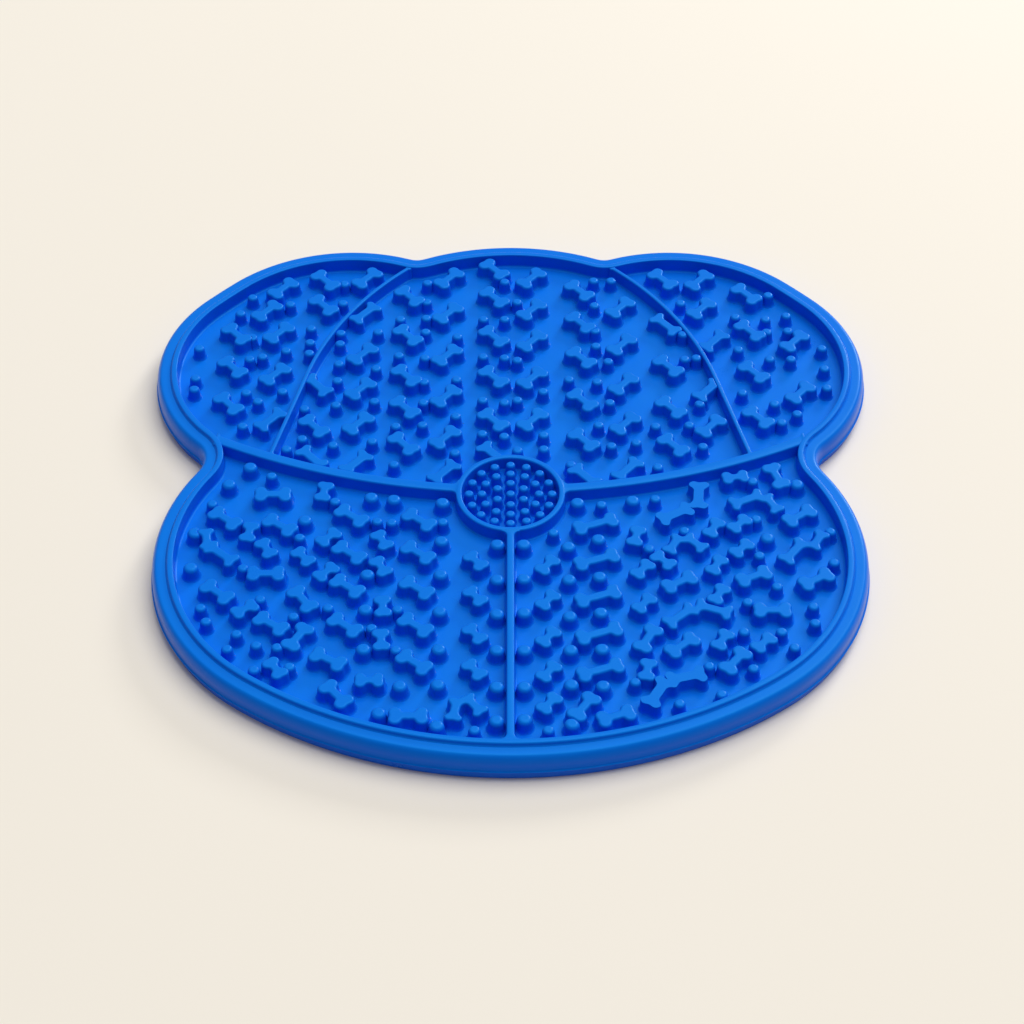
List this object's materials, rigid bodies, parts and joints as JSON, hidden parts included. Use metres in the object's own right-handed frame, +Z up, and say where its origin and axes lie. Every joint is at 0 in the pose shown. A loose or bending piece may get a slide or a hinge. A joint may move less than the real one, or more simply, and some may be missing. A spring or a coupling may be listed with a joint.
{
  "type": "lick mat",
  "caption": "Shallow silicone lick mat in the outline of a dog's face, with a rim, ribs that part it into fields, and bone-shaped and peg lugs that slow a pet's licking.",
  "frame": {"origin": "on the table, under the middle of the mat's length and width", "axes": "+X to the right ear, +Y to the top of the head, +Z up out of the table"},
  "size_m": [0.197, 0.1947, 0.0093],
  "materials": {
    "silicone": "satin"
  },
  "bodies": {
    "root": {"base_skirt": "silicone", "outer_rim": "silicone", "floor_panel": "silicone", "inner_lip": "silicone", "brow_rib_left": "silicone", "brow_rib_right": "silicone", "ear_rib_left": "silicone", "ear_rib_right": "silicone", "muzzle_rib": "silicone", "nose_ring": "silicone", "nose_pegs": "silicone", "left_ear_bones": "silicone", "left_ear_pegs": "silicone", "crown_bones": "silicone", "crown_pegs": "silicone", "right_ear_bones": "silicone", "right_ear_pegs": "silicone", "left_cheek_bones": "silicone", "left_cheek_pegs": "silicone", "right_cheek_bones": "silicone", "right_cheek_pegs": "silicone", "suction_cups": "silicone"}
  },
  "joints": []
}
